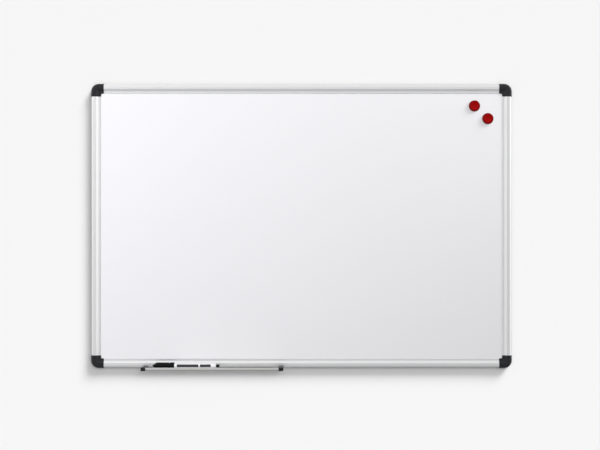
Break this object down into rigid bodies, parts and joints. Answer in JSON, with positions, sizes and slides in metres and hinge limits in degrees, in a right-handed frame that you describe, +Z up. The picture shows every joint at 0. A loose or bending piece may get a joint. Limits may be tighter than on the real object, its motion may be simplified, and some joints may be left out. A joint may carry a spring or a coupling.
{
  "type": "magnetic whiteboard",
  "caption": "Wall-hung magnetic whiteboard with aluminium frame, clip-on plastic corners, sliding pen tray, capped marker and round magnets.",
  "frame": {"origin": "centre of the four wall-screw holes, on the wall plane", "axes": "+X along the board to the right as seen from the front, +Y into the wall, so the writing face looks along -Y, +Z up"},
  "size_m": [0.925, 0.0667, 0.6264],
  "materials": {
    "white_lacquer": "smooth semi-gloss white lacquer",
    "fibre_core": "raw fibreboard",
    "galvanised_sheet": "dull galvanised",
    "frame_aluminium": "satin anodised, fine lines along the bar",
    "tray_aluminium": "satin anodised, fine lines along the tray",
    "bracket_plastic": "plain moulded",
    "corner_plastic": "fine spark-eroded grain",
    "screw_zinc": "bright zinc",
    "marker_black": "polished",
    "marker_white": "polished",
    "nib_fibre": "inked pressed fibre",
    "wick_fibre": "inked fibre bundle",
    "magnet_red": "polished",
    "ferrite": "dull sintered"
  },
  "bodies": {
    "board": {"writing_surface": "white_lacquer", "core_board": "fibre_core", "backing_sheet": "galvanised_sheet", "frame_bar_bottom": "frame_aluminium", "frame_bar_right": "frame_aluminium", "frame_bar_top": "frame_aluminium", "frame_bar_left": "frame_aluminium", "corner_bracket_bottom_left": "bracket_plastic", "corner_bracket_bottom_right": "bracket_plastic", "corner_bracket_top_right": "bracket_plastic", "corner_bracket_top_left": "bracket_plastic", "bracket_screws": "screw_zinc"},
    "tray": {"pen_tray": "tray_aluminium", "tray_end_cap_left": "corner_plastic", "tray_end_cap_right": "corner_plastic"},
    "marker_cap": {"marker_cap": "marker_black"},
    "marker_pen": {"marker_barrel": "marker_white", "marker_end_plug": "marker_black", "marker_nib_holder": "marker_black", "marker_nib": "nib_fibre", "ink_reservoir": "wick_fibre"},
    "magnet_upper": {"magnet_shell_upper": "magnet_red", "magnet_disc_upper": "ferrite"},
    "magnet_lower": {"magnet_shell_lower": "magnet_red", "magnet_disc_lower": "ferrite"},
    "cap_bottom_left": {"corner_cap_bottom_left": "corner_plastic"},
    "cap_bottom_right": {"corner_cap_bottom_right": "corner_plastic"},
    "cap_top_right": {"corner_cap_top_right": "corner_plastic"},
    "cap_top_left": {"corner_cap_top_left": "corner_plastic"}
  },
  "joints": [
    {"name": "tray_slide", "type": "slide", "parent": "board", "child": "tray", "axis": [1, 0, 0], "range_m": [-0.0865, 0.4735]},
    {"name": "marker_lift", "type": "slide", "parent": "tray", "child": "marker_cap", "axis": [0, 0, 1], "range_m": [0, 0.08]},
    {"name": "marker_uncap", "type": "slide", "parent": "marker_cap", "child": "marker_pen", "axis": [1, 0, 0], "range_m": [0, 0.05]},
    {"name": "magnet_upper_pull_off", "type": "slide", "parent": "board", "child": "magnet_upper", "axis": [0, -1, 0], "range_m": [0, 0.06]},
    {"name": "magnet_lower_pull_off", "type": "slide", "parent": "board", "child": "magnet_lower", "axis": [0, -1, 0], "range_m": [0, 0.06]},
    {"name": "cap_bottom_left_unclip", "type": "slide", "parent": "board", "child": "cap_bottom_left", "axis": [0, -1, 0], "range_m": [0, 0.03]},
    {"name": "cap_bottom_right_unclip", "type": "slide", "parent": "board", "child": "cap_bottom_right", "axis": [0, -1, 0], "range_m": [0, 0.03]},
    {"name": "cap_top_right_unclip", "type": "slide", "parent": "board", "child": "cap_top_right", "axis": [0, -1, 0], "range_m": [0, 0.03]},
    {"name": "cap_top_left_unclip", "type": "slide", "parent": "board", "child": "cap_top_left", "axis": [0, -1, 0], "range_m": [0, 0.03]}
  ]
}
